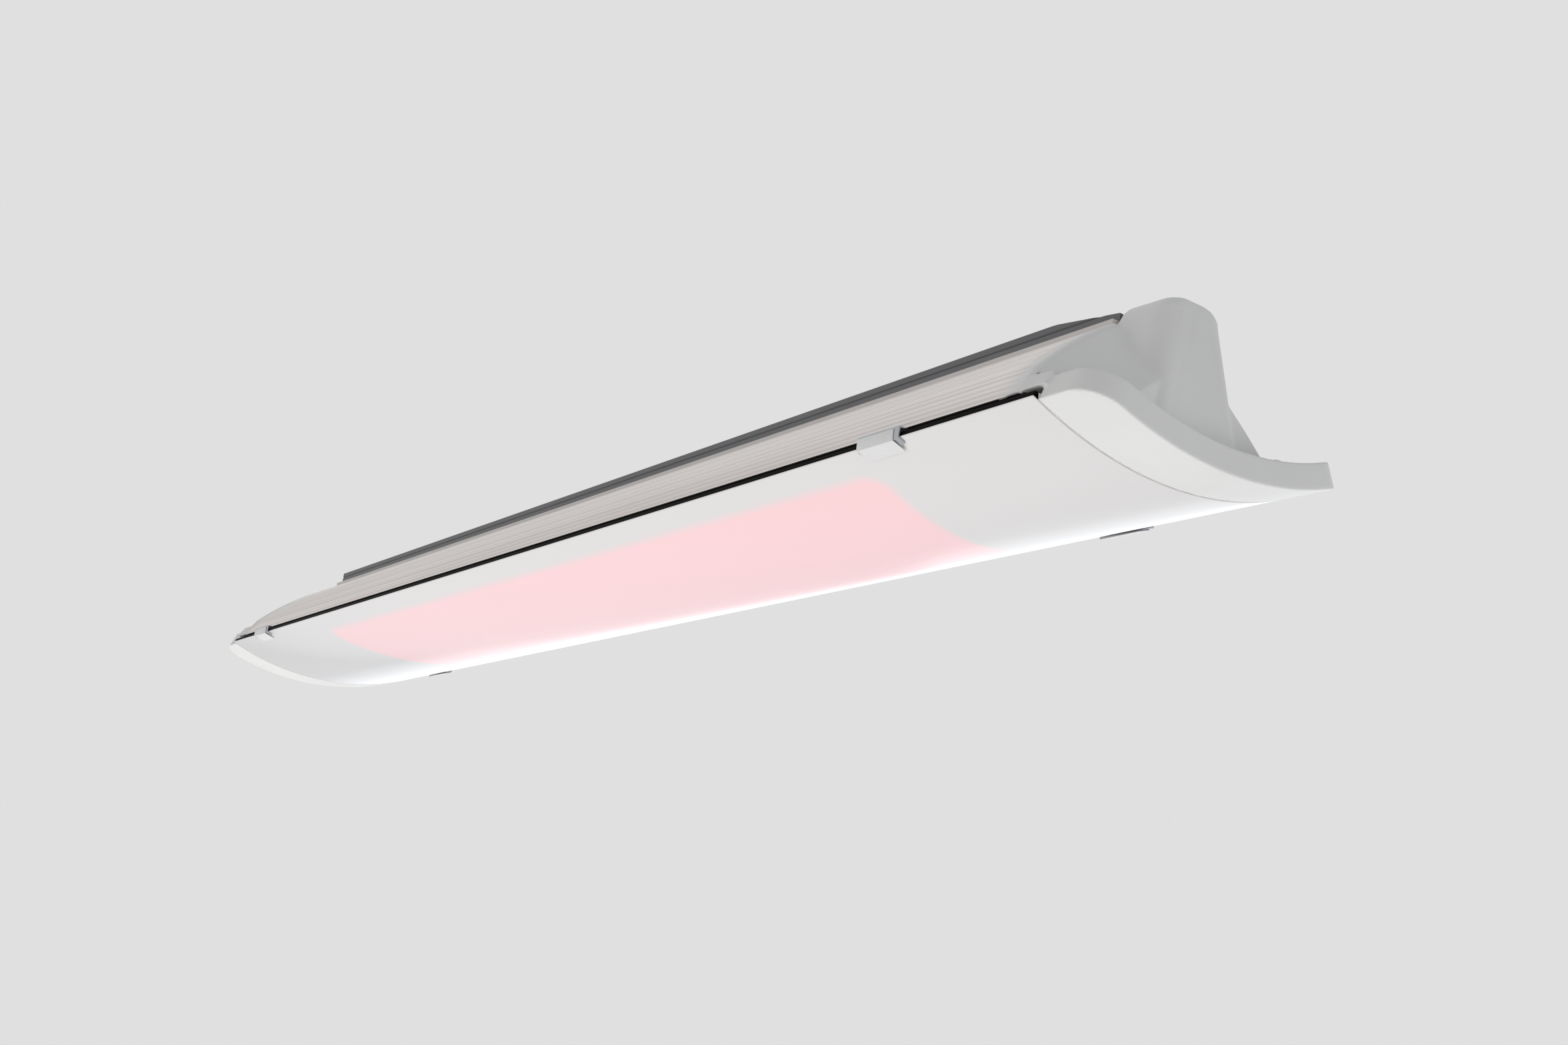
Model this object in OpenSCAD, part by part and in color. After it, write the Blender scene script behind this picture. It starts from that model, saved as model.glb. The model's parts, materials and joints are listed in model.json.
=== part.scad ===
// Slim radiant heater with a curved white glass front, hung from the rail on its back.
// X runs along the heater towards its connection end, Z is up and the glass faces down.
// The origin is the middle of the rail's top face. Inside the modules, heights are
// counted from the long edges of the glass, and seat() moves each piece to the origin.

/* [Glass panel] */
// Length of the glass
panel_l = 1124; // [1040:1:1200]
// Width of the glass, straight across its long edges
panel_w = 191; // [188:1:196]
// How far the middle of the glass hangs below its long edges
panel_sag = 20; // [18:0.5:22]
// Thickness of the glass
glass_t = 4; // [3:0.5:4.5]
// Joint between the glass and each end cap
joint = 1; // [0.6:0.1:1.6]

/* [Housing] */
// Height of the vent slot along each long edge of the glass
slot_h = 6; // [5.6:0.2:7]
// How far the housing's lower edge stands in from the glass edge
skirt_in = 3.5; // [3:0.1:4.2]
// Run of the skirt, inwards
skirt_run = 11; // [10:0.5:12]
// Rise of the skirt
skirt_rise = 16.5; // [15:0.5:18]
// Height of the flat crown above the glass edges
crown_h = 61.8; // [58:0.1:66]
// Width of the flat crown
crown_w = 60; // [58:1:64]
// Bulge of each flank between skirt and crown
flank_sag = 2; // [1:0.1:3]
// Wall of the housing
wall = 2; // [1.6:0.1:2.4]
// Spacing of the fine cooling ribs along the side
rib_pitch = 5; // [4.4:0.1:6]
// Width of a rib at its top
rib_w = 2.4; // [1.8:0.1:2.8]
// Height of a rib
rib_h = 0.7; // [0.4:0.1:1]
// Thickness of the ledge inside each skirt
ledge_t = 2; // [1.8:0.1:2.6]
// Distance from the glass edge in to the ledge's inner edge
ledge_in = 27.5; // [26.5:0.5:29.5]
// Depth of the pad under the crown, which takes the rail screws
pad_t = 5; // [4:0.5:6]
// Width of that pad
pad_w = 40; // [38:1:44]

/* [End caps] */
// Length of each cap beyond the joint, along the face
cap_l = 37; // [35:0.5:40]
// How far the cap's face stands in from the glass edge
cap_in = 2.5; // [2:0.1:3]
// Wall of the caps
cap_t = 3.5; // [3.2:0.1:3.8]
// Height of the rim round the end of the cap
rim_h = 14; // [12:0.5:16]
// Corner radius of the cap's face
cap_r = 20; // [16:1:24]
// Distance from the joint back to the seam where the housing ends
seam_back = 16; // [14:0.5:18]
// Run of the sloping shoulder along the heater
shoulder_run = 30; // [28:0.5:31]
// Slope of the shoulder, in depth for each unit of run
shoulder_slope = 1.185; // [1.1:0.005:1.2]
// Rounding where the slope begins
shoulder_round = 2.7; // [2:0.1:4]
// Length of the spigot that slides into the housing
spigot_l = 10; // [6:1:14]

/* [Connection hump] */
// Height of the hump's top above the glass edges
hump_h = 78; // [77:0.5:82]
// Half width of the hump at the height of the glass edges
hump_w = 39; // [37:0.5:41]
// Draft of the hump's sides, in width for each unit of height
hump_draft = 0.274; // [0.26:0.002:0.28]
// Rounding of the hump's top edges
hump_r = 12; // [10:0.5:13]
// Rounding of the hump's upright front corners
hump_corner = 18.5; // [16:0.5:19]
// Distance from the hump's front back to the rim's outer face
hump_back = 20; // [19:0.5:22]
// Radius of the cable hole in the rubber grommet
cable_r = 4.2; // [3.5:0.1:4.6]

/* [Mounting rail] */
// Width over both strips of the rail
rail_w = 50; // [48:1:52]
// Height of the rail
rail_h = 11; // [10.5:0.5:13]
// Wall of the strips
rail_t = 2.5; // [2:0.1:2.8]
// Width of the slot along the rail's top
rail_slot = 12; // [11:0.5:14]
// Thickness of the base strip under the rail
base_t = 3.5; // [3:0.1:4]
// Distance from the joint at the plain end back to the rail
rail_far_in = 76; // [62:1:92]
// Distance from the joint at the connection end back to where the rail's nose begins
rail_near_in = 65; // [57:1:82]
// Fall of the rail's nose over its length
nose_fall = 6.2; // [4:0.1:7]
// Spacing of the two hanging bolts
hang_l = 700; // [500:10:800]
// Radius of the threaded hole in each sliding nut
nut_r = 3.4; // [2.5:0.1:3.4]
// Length of each sliding nut
nut_l = 24; // [20:1:30]
// Distance from the joint back to the outermost rail screw
rail_screw_in = 132; // [122:1:162]

/* [Glass clips] */
// Distance from the joint back to the hooked end of each clip
clip_in = 97; // [82:1:112]
// Length of a clip along the glass
clip_l = 34; // [30:1:40]
// Sheet thickness of a clip
clip_t = 1; // [0.8:0.1:1.2]
// Reach of a clip's lip over the face of the glass
lip_w = 8; // [6:0.5:9]
// Length of the bare steel hook beside the white cover
hook_l = 4; // [3:0.5:6]

/* [Heating tubes] */
// How far each tube lies outside the middle of its half
tube_out = 2; // [1:0.5:3]
// Outer radius of a tube
tube_r = 7; // [6:0.5:7.5]
// Wall of a tube
tube_t = 1.2; // [1:0.1:1.6]
// Distance from each heat shield back to the end of the heated length
heated_in = 60; // [55:1:105]
// Width of the carbon ribbon
ribbon_w = 6; // [4:0.5:8]
// Distance from the joint back to each heat shield
shield_in = 107; // [104:1:117]
// Sheet thickness of shields and terminal plate
shield_t = 1.2; // [1:0.1:1.6]
// Height of the reflector's crest above the glass edges
trough_h = 34; // [33:0.5:36]
// Sheet thickness of the reflector
mirror_t = 0.8; // [0.6:0.1:1]
// Thickness of the ceramic fibre mat
mat_t = 6; // [4:0.5:7]
// Radius of the insulated inner leads
lead_r = 1.6; // [1.3:0.1:1.8]

/* [Fasteners] */
// Shank radius of the rail screws
rail_bolt_r = 2.5; // [2:0.1:2.8]
// Shank radius of the cap screws
cap_bolt_r = 2; // [1.5:0.1:2]
// Shank radius of the small screws in clips, shields and terminals
small_r = 1.5; // [1.2:0.1:1.6]
// Clearance of a screw in its hole
hole_gap = 0.1; // [0.05:0.05:0.2]
// Clearance between loose neighbours
fit_gap = 0.3; // [0.2:0.05:0.4]

/* [Hidden] */
$fn = 48;

// The curve of the glass and the caps: a circle about a line along the heater
edge_y = panel_w / 2;
arc_r = (edge_y * edge_y + panel_sag * panel_sag) / (2 * panel_sag);
arc_z = arc_r - panel_sag;
big = 400;
arc_fn = 240;
function arc_h(y, r) = arc_z - sqrt(r * r - y * y);

// Stations along the heater
joint_x = panel_l / 2;
face_x = joint_x + joint;
end_x = face_x + cap_l;
seam_x = face_x - seam_back;
hump_x = end_x - hump_back;
dish_x = face_x + cap_t;
shield_x = joint_x - shield_in;
clip_x = joint_x - clip_in;
rail_far = joint_x - rail_far_in;
rail_near = joint_x - rail_near_in;
rail_screw_pitch = (joint_x - rail_screw_in) / 2;
heated_l = 2 * (shield_x - heated_in);
ledge_y = edge_y - ledge_in;

// The side of the housing: a straight skirt and a slightly bulged flank
skirt = [edge_y - skirt_in, slot_h];
knee = skirt + [-skirt_run, skirt_rise];
brow = [crown_w / 2, crown_h];
skirt_len = norm(knee - skirt);
skirt_dir = (knee - skirt) / skirt_len;
skirt_out = [skirt_dir[1], -skirt_dir[0]];
chord = norm(brow - knee);
chord_out = [(brow - knee)[1], -(brow - knee)[0]] / chord;
flank_r = chord * chord / (8 * flank_sag) + flank_sag / 2;
flank_c = (knee + brow) / 2 - chord_out * (flank_r - flank_sag);
knee_a = atan2((knee - flank_c)[1], (knee - flank_c)[0]);
brow_a = atan2((brow - flank_c)[1], (brow - flank_c)[0]);
flank_len = flank_r * (brow_a - knee_a) * PI / 180;
function polar(r, a) = [r * cos(a), r * sin(a)];
function side_pt(s, out) = s < skirt_len
    ? skirt + skirt_dir * s + skirt_out * out
    : flank_c + polar(flank_r + out, knee_a + (s - skirt_len) / flank_r * 180 / PI);

// A smooth half outline from the skirt's foot to the brow, and its mirrored whole
flank_steps = 5;
side_line = concat([side_pt(0, 0)],
    [for (i = [0 : flank_steps]) side_pt(skirt_len + flank_len * i / flank_steps, 0)]);
function flip(pts) = [for (i = [len(pts) - 1 : -1 : 0]) [-pts[i][0], pts[i][1]]];
function unit(v) = v / norm(v);
function out_of(a, b) = let (d = unit(b - a)) [d[1], -d[0]];

// Moves an open outline inwards by d, mitred at its corners, towards the middle
function inset(pts, d) = [for (i = [0 : len(pts) - 1])
    let (a = out_of(pts[max(i - 1, 0)], pts[max(i, 1)]),
        b = i == len(pts) - 1 ? (pts[i][0] > 0 ? [0, 1] : a) : out_of(pts[i], pts[i + 1]))
    pts[i] - (a + b) / (1 + a * b) * d];
function dome(d) = let (half = inset(side_line, d)) concat(half, flip(half));
function turned(pts) = [for (i = [len(pts) - 1 : -1 : 0]) pts[i]];

// The inset outline again, but starting at the height of the ledge's top
function wall_line(d) = let (line = inset(side_line, d), way = line[1] - line[0])
    concat([line[0] + way * (ledge_z - line[0][1]) / way[1]], [for (k = [1 : len(line) - 1]) line[k]]);

// Steps of the rounded shapes
shoulder_steps = 9;
hump_steps = 6;
corner_steps = 6;
lip_steps = 5;

// Ribs along the side
rib_slope = 0.5;
rib_step = rib_w + 2 * rib_slope;
rib_count = floor((skirt_len + flank_len - rib_pitch) / rib_pitch);

// Heights of the rail and the inner ledge
rail_z = crown_h + base_t;
rail_top = rail_z + rail_h;
ledge_z = slot_h + ledge_t;
nose_x = seam_x - fit_gap;
rail_screw_y = (rail_slot / 2 + rail_w / 2 - rail_t) / 2;

// Ports for the cap screws, inside the skirt and above the ledge
port_r = 4.5;
port_in = 15;
port = [edge_y - port_in, ledge_z + port_r - 0.5];
cap_head_r = 3.5;
cap_head_h = 2.6;
cap_screw_in = 17;
cap_seat_x = seam_x + 5;
cap_screw_l = cap_seat_x - seam_x + cap_screw_in;

// Reflector: two parabolas, each across one half of the housing, with the tubes in their foci
trough_w = ledge_y / 2;
tube_y = trough_w + tube_out;
trough_f = trough_w * trough_w / (4 * (trough_h - ledge_z));
tube_z = trough_h - trough_f;
foot_w = 5.4;
trough_steps = 12;
function trough_pt(u) = [tube_y + trough_w * u, trough_h - pow(trough_w * u, 2) / (4 * trough_f)];
trough_line = [for (i = [0 : trough_steps]) trough_pt(1 - 2 * i / trough_steps)];

// Tube ends
ceramic_r = 9;
ceramic_l = 30;
ceramic_in = 14;
ceramic_x = shield_x - shield_t / 2 - ceramic_in;
socket_l = 12;
collar_r = 11;
collar_l = 3;
ring_t = 1.5;
tube_end = ceramic_x + socket_l;
rod_r = 0.6;
crimp_r = 1.6;
crimp_l = 12;
ribbon_t = 0.6;
rod_end = tube_end + 6;

// Terminal compartment
plate_x = shield_x + 17;
plate_end = seam_x - 8;
term_x = plate_end - 32;
term_l = 30;
term_w = 44;
term_h = 21;
pole = 14;
bar_l = 24;
bar_w = 8;
bar_in = (term_l - bar_l) / 2;
bar_screw = 5;
lead_in = term_x + bar_in;
term_z = ledge_z + shield_t;
earth_pt = [plate_x + 14, -50];
lug_t = 0.8;
lug_r = 4;

// Inner leads
bend = 5;
bend_steps = 4;
lead_fn = 10;

// Small screws
small_head_r = 2.8;
small_head_h = 1.7;
clip_screw_y = ledge_y + 4;
clip_screw_in = clip_l / 2;
flange_l = 12;
shield_screw_x = shield_x + shield_t / 2 + flange_l / 2;

// Clips and pads round the glass edge
clip_gap = 0.15;
cover_t = 0.6;
cover_rise = 2;
pad_in = 9;

// Rounded shapes of the caps
hump_back_x = seam_x;
hump_lean = 0.04;
hump_turn = 82;
cut_z = -50;
spigot_t = 2;
spigot_gap = 1.5;

// Grommet in the hump's top
inlet_x = (hump_back_x + hump_x) / 2;
recess_r = cable_r + 4.6;
recess_z = hump_h - 3.5;
web_t = 4.5;
neck_r = cable_r + 1.7;

module seat() {
    translate([0, 0, -rail_top]) children();
}

module along_x(x0, x1) {
    translate([x0, 0, 0]) rotate([90, 0, 90]) linear_extrude(x1 - x0) children();
}

module rod_x(x0, x1, y, z, r) {
    translate([x0, y, z]) rotate([0, 90, 0]) cylinder(h = x1 - x0, r = r);
}

module arc_body(x0, x1, r) {
    translate([x0, 0, arc_z]) rotate([0, 90, 0]) cylinder(h = x1 - x0, r = r, $fn = arc_fn);
}

// A curved sheet between two radii, as wide as the given straight width
module arc_sheet(x0, x1, r0, r1, w) {
    intersection() {
        difference() {
            arc_body(x0, x1, r1);
            arc_body(x0 - 1, x1 + 1, r0);
        }
        translate([x0 - 1, -w / 2, -big / 2]) cube([x1 - x0 + 2, w, big]);
    }
}

// Copies for left and right, and for both ends
module both_sides() {
    children();
    mirror([0, 1, 0]) children();
}

module both_ends() {
    children();
    mirror([1, 0, 0]) children();
}

// A solid through rings of points, each ring a list of [x, y, z]
module loft(rings) {
    n = len(rings[0]);
    last = len(rings) - 1;
    sides = [for (k = [0 : last - 1]) for (i = [0 : n - 1])
        let (a = k * n + i, b = k * n + (i + 1) % n)
        each [[a, b + n, b], [a, a + n, b + n]]];
    first_face = [for (i = [0 : n - 1]) i];
    last_face = [for (i = [n - 1 : -1 : 0]) last * n + i];
    polyhedron([for (r = rings) each r], concat([first_face], sides, [last_face]), 4);
}

module glass_panel() {
    color("whitesmoke") seat()
        arc_sheet(-joint_x, joint_x, arc_r - glass_t, arc_r, panel_w);
}

// Sloping shoulder: the housing's outline drawn in more and more, t inside the skin
function shoulder_ring(x, d) = let (line = dome(d), foot = line[0][0])
    concat([for (p = line) [x, p[0], p[1]]], [[x, -foot, cut_z], [x, foot, cut_z]]);
function shoulder_fall(u) = norm([shoulder_round, shoulder_slope * u]) - shoulder_round;
function shoulder_rings(t) = [for (i = [0 : shoulder_steps])
    let (u = (shoulder_run - t) * pow(i / shoulder_steps, 2))
    shoulder_ring(seam_x + u, t - rib_h + shoulder_fall(u + t / 2))];

module shoulder(t) {
    loft(shoulder_rings(t));
}

// Hump: plan sections with round front corners, drawn in at the top, t inside the skin
function hump_ring(z, d, t) = let (w = hump_w - hump_draft * z - d - t,
        x1 = hump_x - hump_lean * z - d - t, x0 = hump_back_x + t,
        r = min(hump_corner - d - t, 0.95 * w))
    concat([for (i = [0 : corner_steps]) let (a = 90 * i / corner_steps)
            [x1 - r + r * sin(a), w - r + r * cos(a), z]],
        [for (i = [corner_steps : -1 : 0]) let (a = 90 * i / corner_steps)
            [x1 - r + r * sin(a), -w + r - r * cos(a), z]],
        [[x0, -w, z], [x0, w, z]]);
module hump(t) {
    top = hump_h - t;
    r = hump_r - t / 2;
    rings = concat([hump_ring(cut_z, 0, t)], [for (i = [0 : hump_steps])
        let (a = hump_turn * i / hump_steps) hump_ring(top - r + r * sin(a), r * (1 - cos(a)), t)]);
    loft([for (k = [len(rings) - 1 : -1 : 0]) rings[k]]);
}

// One half of the cap's outline with its round corner, square to the face at its long edge
module face_side(d, x0) {
    r = cap_r - d;
    a = asin((edge_y - cap_in) / arc_r);
    translate([0, 0, arc_z]) rotate([a, 0, 0]) translate([0, 0, -big]) linear_extrude(big) union() {
        translate([x0, -big]) square([end_x - d - r - x0, big - d]);
        translate([x0, -big]) square([end_x - d - x0, big - d - r]);
        translate([end_x - d - r, -d - r]) circle(r);
    }
}

module face_block(d, x0) {
    intersection() {
        face_side(d, x0);
        mirror([0, 1, 0]) face_side(d, x0);
    }
}

// Open dish that carries the cap's face and rim
module dish() {
    difference() {
        intersection() {
            difference() {
                arc_body(face_x, end_x, arc_r);
                arc_body(face_x - 1, end_x + 1, arc_r - rim_h);
            }
            face_block(0, face_x);
        }
        intersection() {
            arc_body(dish_x, end_x, arc_r - cap_t);
            face_block(cap_t, dish_x);
        }
    }
}

module above_slot() {
    intersection() {
        difference() {
            children();
            translate([0, -big / 2, slot_h - big]) cube([face_x, big, big]);
        }
        arc_body(seam_x - 1, end_x, arc_r - 1);
    }
}

module cap_shell(with_hump) {
    difference() {
        union() {
            dish();
            above_slot() shoulder(0);
            if (with_hump) above_slot() hump(0);
        }
        intersection() {
            union() {
                translate([-0.01, 0, 0]) shoulder(cap_t);
                if (with_hump) hump(cap_t);
            }
            arc_body(seam_x - 1, end_x, arc_r - cap_t);
        }
    }
}

// Part of the cap that slides inside the housing, clear of the pad and the ports
module spigot() {
    outer = dome(wall + fit_gap);
    inner = dome(wall + fit_gap + spigot_t);
    difference() {
        along_x(seam_x - spigot_l, seam_x + 5)
            polygon(concat(outer, [for (i = [len(inner) - 1 : -1 : 0]) inner[i]]));
        translate([0, -big / 2, -big / 2]) cube([big * 2, big, big / 2 + knee[1] + 3]);
        translate([0, -pad_w / 2 - spigot_gap, 0]) cube([big * 2, pad_w + 2 * spigot_gap, big]);
    }
}

// Solid foot between the shoulder and the dish, which the cap's screw passes through
module screw_block() {
    intersection() {
        along_x(seam_x, dish_x) polygon(dome(-rib_h));
        translate([seam_x, port[0] - port_r, slot_h]) cube([big, big, port[1] + port_r - slot_h]);
    }
}

module end_cap(with_hump) {
    difference() {
        union() {
            cap_shell(with_hump);
            spigot();
            both_sides() screw_block();
            if (with_hump) {
                translate([inlet_x, 0, recess_z - web_t]) cylinder(h = web_t + 2, r = recess_r + 1);
            }
        }
        both_sides() rod_x(seam_x - 1, cap_seat_x + 1, port[0], port[1], cap_bolt_r + hole_gap);
        both_sides() rod_x(cap_seat_x, dish_x + 1, port[0], port[1], cap_head_r + fit_gap);
        if (with_hump) {
            translate([inlet_x, 0, recess_z]) cylinder(h = 20, r = recess_r);
            translate([inlet_x, 0, recess_z - 20]) cylinder(h = 30, r = neck_r);
        }
    }
}

module near_end_cap() {
    color("gainsboro") seat() end_cap(true);
}

module far_end_cap() {
    color("gainsboro") seat() mirror([1, 0, 0]) end_cap(false);
}

// Ribs as short outward steps along the side
rib_line = concat([side_pt(0, 0)],
    [for (i = [0 : rib_count - 1]) let (s = rib_pitch * (i + 0.6))
        each [side_pt(s, 0), side_pt(s + rib_slope, rib_h),
            side_pt(s + rib_slope + rib_w, rib_h), side_pt(s + rib_step, 0)]],
    [brow]);

module housing_section() {
    half = concat([[ledge_y, slot_h], [ledge_y, ledge_z]], wall_line(wall));
    polygon(concat(rib_line, flip(rib_line), turned(concat(half, flip(half)))));
    for (s = [-1, 1]) translate([s * port[0], port[1]]) circle(port_r);
    translate([-pad_w / 2, crown_h - pad_t]) square([pad_w, pad_t - wall / 2]);
}

module both_sides_2d() {
    children();
    mirror([1, 0]) children();
}

module rail_screw_places() {
    for (i = [-2 : 2]) for (s = [-1, 1])
        translate([i * rail_screw_pitch, s * rail_screw_y, 0]) children();
}

module rail_screw_holes(z0, z1) {
    rail_screw_places() translate([0, 0, z0]) cylinder(h = z1 - z0, r = rail_bolt_r + hole_gap);
}

module rear_housing() {
    color("silver") seat() difference() {
        along_x(-seam_x, seam_x) housing_section();
        both_ends() both_sides() rod_x(seam_x - cap_screw_in - 6, seam_x + 1, port[0], port[1], cap_bolt_r + hole_gap);
        rail_screw_holes(crown_h - pad_t - 1, crown_h + 1);
        clip_stations() translate([0, clip_screw_y, slot_h - 1]) cylinder(h = 6, r = small_r + hole_gap);
        both_ends() both_sides() translate([shield_screw_x, clip_screw_y, slot_h - 1])
            cylinder(h = 6, r = small_r + hole_gap);
    }
}

module rail_base() {
    color("silver") seat() difference() {
        translate([-rail_far, -crown_w / 2, crown_h]) cube([rail_far + nose_x, crown_w, base_t]);
        rail_screw_holes(crown_h - 1, rail_z + 1);
    }
}

// Right strip of the rail: a channel open to the middle, with a fine groove along its side
module rail_section() {
    w = rail_w / 2;
    g = 0.6;
    groove_z = rail_z + rail_h * 0.6;
    inner_w = w - rail_t;
    polygon([[w, rail_z], [w, groove_z - g], [w - g, groove_z], [w, groove_z + g],
        [w, rail_top - g], [w - g, rail_top], [rail_slot / 2, rail_top],
        [rail_slot / 2, rail_top - rail_t], [inner_w, rail_top - rail_t],
        [inner_w, rail_z + rail_t], [rail_slot / 2, rail_z + rail_t], [rail_slot / 2, rail_z]]);
}

// One strip, with its near end cut to a low nose
module rail_strip() {
    difference() {
        along_x(-rail_far, nose_x) rail_section();
        rail_screw_holes(rail_z - 1, rail_z + rail_t + 1);
        translate([rail_near, -rail_w, rail_top])
            rotate([0, atan2(nose_fall, nose_x - rail_near), 0]) cube([big, 2 * rail_w, rail_h]);
    }
}

module left_rail() {
    color("dimgray") seat() mirror([0, 1, 0]) rail_strip();
}

module right_rail() {
    color("dimgray") seat() rail_strip();
}

module rail_nuts() {
    color("silver") seat() for (s = [-1, 1]) difference() {
        union() {
            translate([s * hang_l / 2 - nut_l / 2, -rail_w / 4, rail_z + rail_t + 0.8])
                cube([nut_l, rail_w / 2, rail_h - 2 * rail_t - 0.8]);
            translate([s * hang_l / 2 - nut_l / 2, -rail_slot / 2 + fit_gap, rail_top - rail_t - 1])
                cube([nut_l, rail_slot - 2 * fit_gap, rail_t + 1]);
        }
        translate([s * hang_l / 2, 0, rail_z]) cylinder(h = rail_h + 1, r = nut_r);
    }
}

// A screw along Z with a pan head; the head's seat is at the origin and the shank points down
module screw(r, l, head_r, head_h) {
    translate([0, 0, -l]) cylinder(h = l, r = r);
    difference() {
        cylinder(h = head_h, r = head_r);
        translate([0, 0, head_h / 2]) cylinder(h = head_h, r = head_r * 0.45, $fn = 6);
    }
}

// Driven from inside the housing, up into the floor of each strip
module rail_screws() {
    color("silver") seat() rail_screw_places() translate([0, 0, crown_h - pad_t])
        mirror([0, 0, 1]) screw(rail_bolt_r, pad_t + base_t + rail_t, rail_bolt_r * 1.8, 3);
}

// The middles of the four clip screws, for the near and the far pair
module clip_stations() {
    both_sides() for (x = [clip_x, -clip_x]) translate([x - clip_screw_in, 0, 0]) children();
}

// Points along the glass edge's underside, a little clear of the glass and t further out
function lip_pt(k, t) = let (y = edge_y + clip_gap + t - (lip_w + t) * k / lip_steps)
    [y, arc_h(min(y, edge_y), arc_r + clip_gap + t)];
function lip_line(t) = [for (k = [0 : lip_steps]) lip_pt(k, t)];

// Clip: a steel strip from under the ledge, round the glass edge and under its face
module clip(x) {
    out = edge_y + clip_gap;
    difference() {
        along_x(x - clip_l, x) polygon(concat([[ledge_y, slot_h], [out + clip_t, slot_h]],
            lip_line(clip_t), turned(lip_line(0)), [[out, slot_h - clip_t], [ledge_y, slot_h - clip_t]]));
        translate([x - clip_screw_in, clip_screw_y, 0])
            cylinder(h = slot_h + 1, r = small_r + hole_gap);
    }
}

// White cover round the outside of the lip, short of the hooked end
module clip_cover(x) {
    out = edge_y + clip_gap + clip_t;
    along_x(x - clip_l, x - hook_l) polygon(concat([[out, cover_rise], [out + cover_t, cover_rise]],
        lip_line(clip_t + cover_t), turned(lip_line(clip_t))));
}

module near_left_clip() {
    color("gray") seat() mirror([0, 1, 0]) clip(clip_x);
}

module near_right_clip() {
    color("gray") seat() clip(clip_x);
}

module far_left_clip() {
    color("gray") seat() mirror([0, 1, 0]) clip(-clip_x);
}

module far_right_clip() {
    color("gray") seat() clip(-clip_x);
}

module clip_covers() {
    color("whitesmoke") seat() both_sides() for (x = [clip_x, -clip_x]) clip_cover(x);
}

module clip_screws() {
    color("silver") seat() clip_stations() translate([0, clip_screw_y, slot_h - clip_t])
        mirror([0, 0, 1]) screw(small_r, clip_t + ledge_t, small_head_r, small_head_h);
}

// Pads that hold the glass edge off the clips' feet
module glass_pads() {
    color("white") seat() both_sides() for (x = [clip_x, -clip_x])
        intersection() {
            translate([x - clip_l, edge_y - pad_in, -5])
                cube([clip_l - hook_l, pad_in - 1, slot_h - clip_t + 5]);
            arc_body(-end_x, end_x, arc_r - glass_t - clip_gap);
        }
}

module end_gaskets() {
    color("dimgray") seat() both_ends()
        arc_sheet(joint_x, face_x, arc_r - cap_t, arc_r - 0.5, 2 * (edge_y - cap_in - 1));
}

module reflector() {
    foot = tube_y + trough_w;
    line = concat([[foot + foot_w, ledge_z + mirror_t]], inset(trough_line, -mirror_t));
    under = concat([[foot + foot_w, ledge_z]], trough_line);
    color("lightgray") seat() along_x(-shield_x + shield_t / 2, shield_x - shield_t / 2)
        polygon(concat(line, flip(line), turned(flip(under)), turned(under)));
}

module insulation_mats() {
    steps = [for (k = [1 : trough_steps - 1]) k];
    low = inset(trough_line, -mirror_t);
    high = inset(trough_line, -mirror_t - mat_t);
    color("ivory") seat() both_sides() along_x(-shield_x + shield_t / 2, shield_x - shield_t / 2)
        polygon(concat([for (k = steps) high[k]], turned([for (k = steps) low[k]])));
}

// A tube with both its ends in ceramic sockets
module heating_tube() {
    translate([0, tube_y, tube_z]) rotate([0, 90, 0]) difference() {
        cylinder(h = 2 * tube_end, r = tube_r, center = true);
        cylinder(h = 2 * tube_end + 2, r = tube_r - tube_t, center = true);
    }
}

module left_heating_tube() {
    color("lightblue", 0.5) seat() mirror([0, 1, 0]) heating_tube();
}

module right_heating_tube() {
    color("lightblue", 0.5) seat() heating_tube();
}

// Carbon ribbon with a crimp and a stiff lead rod at each end
module filament() {
    translate([0, tube_y, tube_z]) {
        cube([heated_l, ribbon_w, ribbon_t], center = true);
        both_ends() {
            rod_x(heated_l / 2 - 2, heated_l / 2 + crimp_l - 2, 0, 0, crimp_r);
            rod_x(heated_l / 2, rod_end, 0, 0, rod_r);
        }
    }
}

module left_filament() {
    color("orangered") seat() mirror([0, 1, 0]) filament();
}

module right_filament() {
    color("orangered") seat() filament();
}

module tube_ceramic() {
    translate([ceramic_x, tube_y, tube_z]) rotate([0, 90, 0]) difference() {
        union() {
            cylinder(h = ceramic_l, r = ceramic_r);
            translate([0, 0, ceramic_in - collar_l]) cylinder(h = collar_l, r = collar_r);
        }
        translate([0, 0, -1]) cylinder(h = socket_l + 1, r = tube_r + hole_gap);
        cylinder(h = ceramic_l + 1, r = lead_r + hole_gap);
    }
}

module tube_ceramics() {
    color("white") seat() both_ends() both_sides() tube_ceramic();
}

module tube_retainers() {
    color("silver") seat() both_ends() both_sides()
        translate([shield_x + shield_t / 2, tube_y, tube_z]) rotate([0, 90, 0]) difference() {
            cylinder(h = ring_t, r = collar_r + 1);
            translate([0, 0, -1]) cylinder(h = ring_t + 2, r = ceramic_r + hole_gap);
        }
}

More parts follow.
